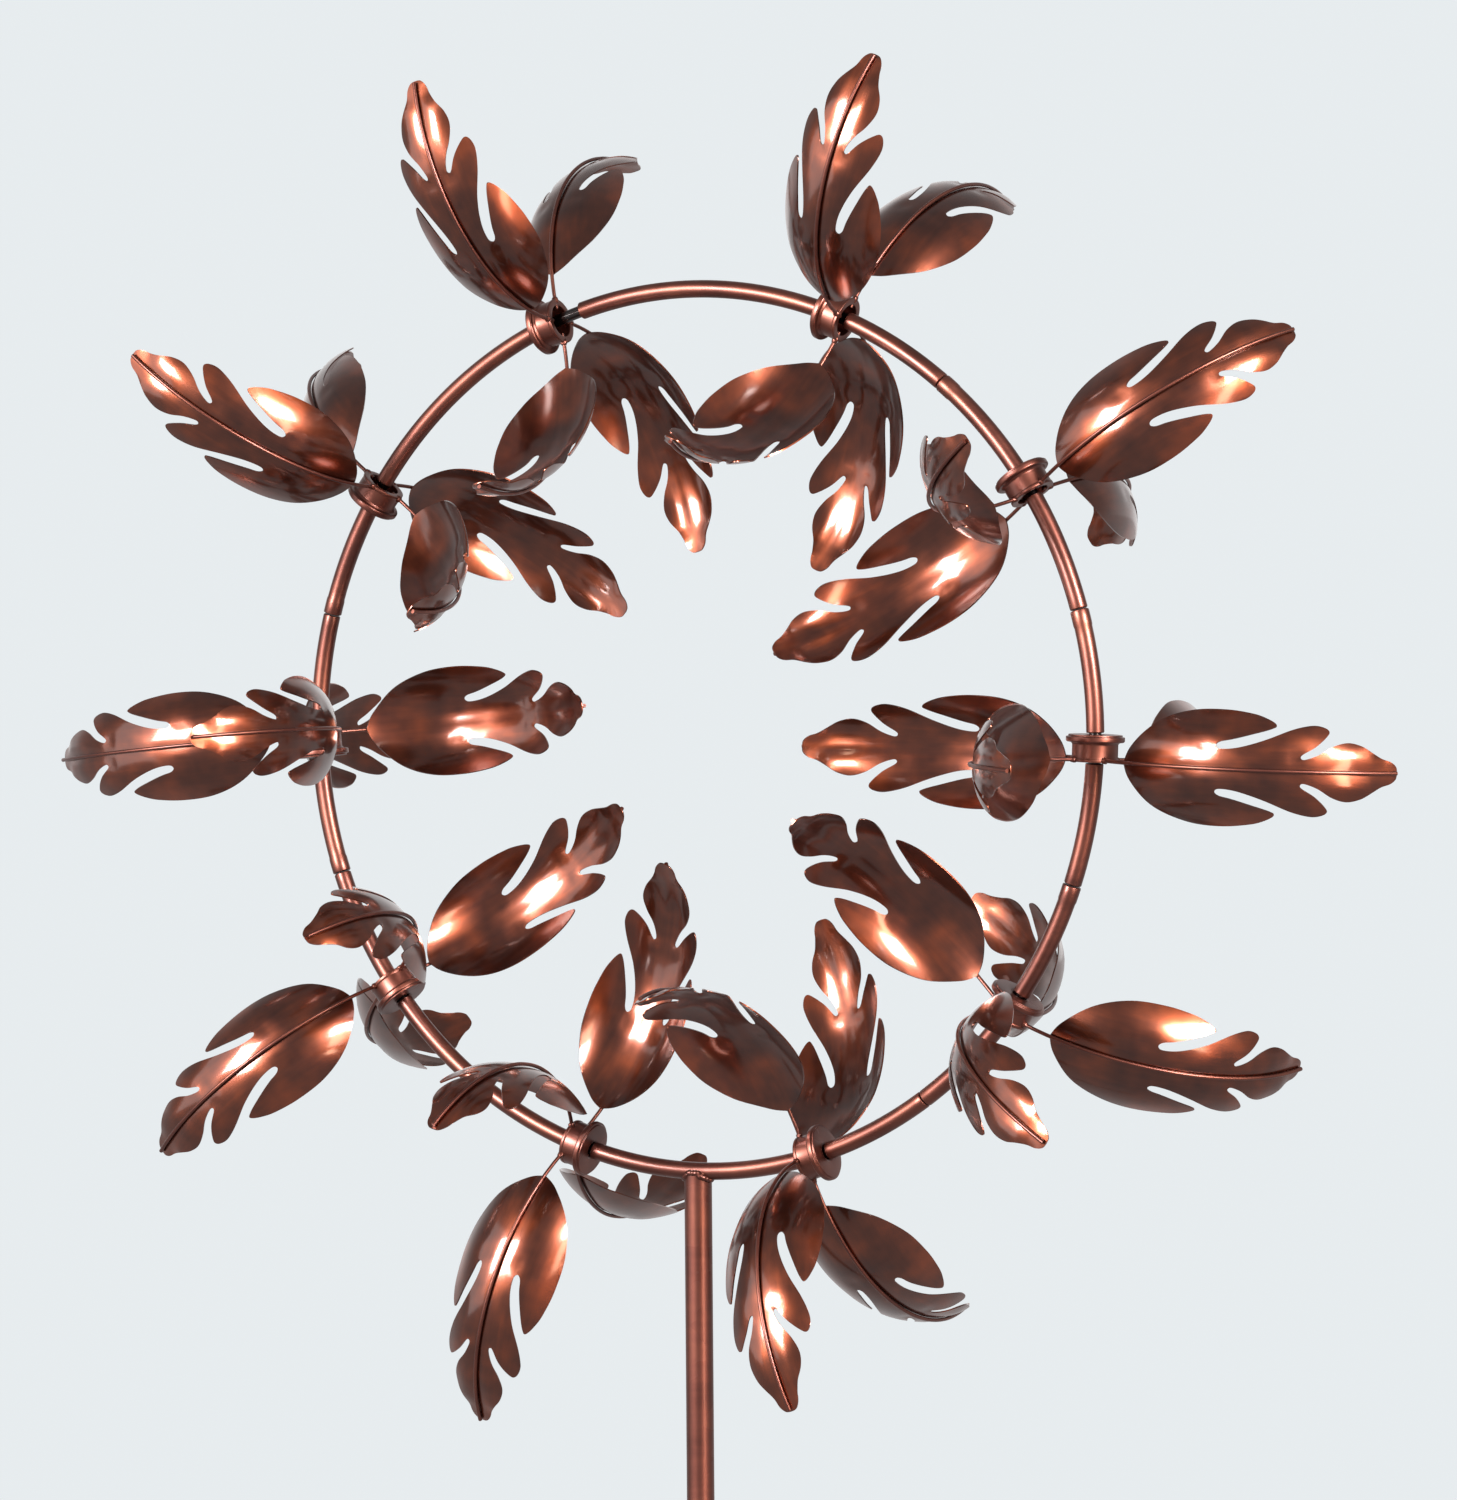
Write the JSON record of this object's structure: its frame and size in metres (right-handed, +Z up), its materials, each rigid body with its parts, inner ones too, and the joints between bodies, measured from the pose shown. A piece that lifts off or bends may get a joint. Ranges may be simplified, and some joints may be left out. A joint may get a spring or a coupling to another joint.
{
  "type": "kinetic wind sculpture",
  "caption": "Garden wind sculpture: a tubular ring on a staked pole, with small leaf rotors that spin freely on the ring's own tube.",
  "frame": {"origin": "on the pole's axis at ground level, where the underside of the foot bar rests on the soil", "axes": "+Z up along the pole; +X to the right as seen from the front; the ring lies in the XZ plane and its front faces -Y"},
  "size_m": [0.8501, 0.3416, 1.9971],
  "materials": {
    "frame_copper_paint": "metallic bronze-copper paint under a satin clear coat, with burnished highlights",
    "leaf_copper_paint": "dark metallic bronze-copper paint under a glossy clear coat, rubbed to brighter orange along edges and lobes",
    "fastener_steel": "plain zinc-plated"
  },
  "bodies": {
    "frame": {"ring_bottom": "frame_copper_paint", "ring_right_lower": "frame_copper_paint", "ring_right_middle": "frame_copper_paint", "ring_right_upper": "frame_copper_paint", "ring_top": "frame_copper_paint", "ring_left": "frame_copper_paint", "pole_upper": "frame_copper_paint", "pole_lower": "frame_copper_paint", "ground_stake": "frame_copper_paint", "pole_screw": "fastener_steel"},
    "rotor_01": {"rotor_01_hub": "frame_copper_paint", "rotor_01_leaf_a": "leaf_copper_paint", "rotor_01_leaf_b": "leaf_copper_paint", "rotor_01_leaf_c": "leaf_copper_paint", "rotor_01_leaf_d": "leaf_copper_paint"},
    "rotor_02": {"rotor_02_hub": "frame_copper_paint", "rotor_02_leaf_a": "leaf_copper_paint", "rotor_02_leaf_b": "leaf_copper_paint", "rotor_02_leaf_c": "leaf_copper_paint", "rotor_02_leaf_d": "leaf_copper_paint"},
    "rotor_03": {"rotor_03_hub": "frame_copper_paint", "rotor_03_leaf_a": "leaf_copper_paint", "rotor_03_leaf_b": "leaf_copper_paint", "rotor_03_leaf_c": "leaf_copper_paint", "rotor_03_leaf_d": "leaf_copper_paint"},
    "rotor_04": {"rotor_04_hub": "frame_copper_paint", "rotor_04_leaf_a": "leaf_copper_paint", "rotor_04_leaf_b": "leaf_copper_paint", "rotor_04_leaf_c": "leaf_copper_paint", "rotor_04_leaf_d": "leaf_copper_paint"},
    "rotor_05": {"rotor_05_hub": "frame_copper_paint", "rotor_05_leaf_a": "leaf_copper_paint", "rotor_05_leaf_b": "leaf_copper_paint", "rotor_05_leaf_c": "leaf_copper_paint", "rotor_05_leaf_d": "leaf_copper_paint"},
    "rotor_06": {"rotor_06_hub": "frame_copper_paint", "rotor_06_leaf_a": "leaf_copper_paint", "rotor_06_leaf_b": "leaf_copper_paint", "rotor_06_leaf_c": "leaf_copper_paint", "rotor_06_leaf_d": "leaf_copper_paint"},
    "rotor_07": {"rotor_07_hub": "frame_copper_paint", "rotor_07_leaf_a": "leaf_copper_paint", "rotor_07_leaf_b": "leaf_copper_paint", "rotor_07_leaf_c": "leaf_copper_paint", "rotor_07_leaf_d": "leaf_copper_paint"},
    "rotor_08": {"rotor_08_hub": "frame_copper_paint", "rotor_08_leaf_a": "leaf_copper_paint", "rotor_08_leaf_b": "leaf_copper_paint", "rotor_08_leaf_c": "leaf_copper_paint", "rotor_08_leaf_d": "leaf_copper_paint"},
    "rotor_09": {"rotor_09_hub": "frame_copper_paint", "rotor_09_leaf_a": "leaf_copper_paint", "rotor_09_leaf_b": "leaf_copper_paint", "rotor_09_leaf_c": "leaf_copper_paint", "rotor_09_leaf_d": "leaf_copper_paint"},
    "rotor_10": {"rotor_10_hub": "frame_copper_paint", "rotor_10_leaf_a": "leaf_copper_paint", "rotor_10_leaf_b": "leaf_copper_paint", "rotor_10_leaf_c": "leaf_copper_paint", "rotor_10_leaf_d": "leaf_copper_paint"}
  },
  "joints": [
    {"name": "rotor_01_spin", "type": "hinge", "parent": "frame", "child": "rotor_01", "pos_m": [-0.09387, 0, 1.59709], "axis": [0.9655, 0, 0.2605], "continuous": true},
    {"name": "rotor_02_spin", "type": "hinge", "parent": "frame", "child": "rotor_02", "pos_m": [0.09387, 0, 1.59709], "axis": [0.9232, 0, -0.3843], "continuous": true},
    {"name": "rotor_03_spin", "type": "hinge", "parent": "frame", "child": "rotor_03", "pos_m": [0.21338, 0, 1.49963], "axis": [0.5402, 0, -0.8415], "continuous": true},
    {"name": "rotor_04_spin", "type": "hinge", "parent": "frame", "child": "rotor_04", "pos_m": [0.25484, 0, 1.3511], "axis": [-0.0436, 0, -0.999], "continuous": true},
    {"name": "rotor_05_spin", "type": "hinge", "parent": "frame", "child": "rotor_05", "pos_m": [0.20311, 0, 1.20583], "axis": [-0.5548, 0, -0.832], "continuous": true},
    {"name": "rotor_06_spin", "type": "hinge", "parent": "frame", "child": "rotor_06", "pos_m": [0.0771, 0, 1.11694], "axis": [-0.9505, 0, -0.3107], "continuous": true},
    {"name": "rotor_07_spin", "type": "hinge", "parent": "frame", "child": "rotor_07", "pos_m": [-0.0771, 0, 1.11694], "axis": [-0.9558, 0, 0.294], "continuous": true},
    {"name": "rotor_08_spin", "type": "hinge", "parent": "frame", "child": "rotor_08", "pos_m": [-0.20311, 0, 1.20583], "axis": [-0.6252, 0, 0.7804], "continuous": true},
    {"name": "rotor_09_spin", "type": "hinge", "parent": "frame", "child": "rotor_09", "pos_m": [-0.25484, 0, 1.3511], "axis": [-0.0958, 0, 0.9954], "continuous": true},
    {"name": "rotor_10_spin", "type": "hinge", "parent": "frame", "child": "rotor_10", "pos_m": [-0.21338, 0, 1.49963], "axis": [0.6184, 0, 0.7859], "continuous": true}
  ]
}
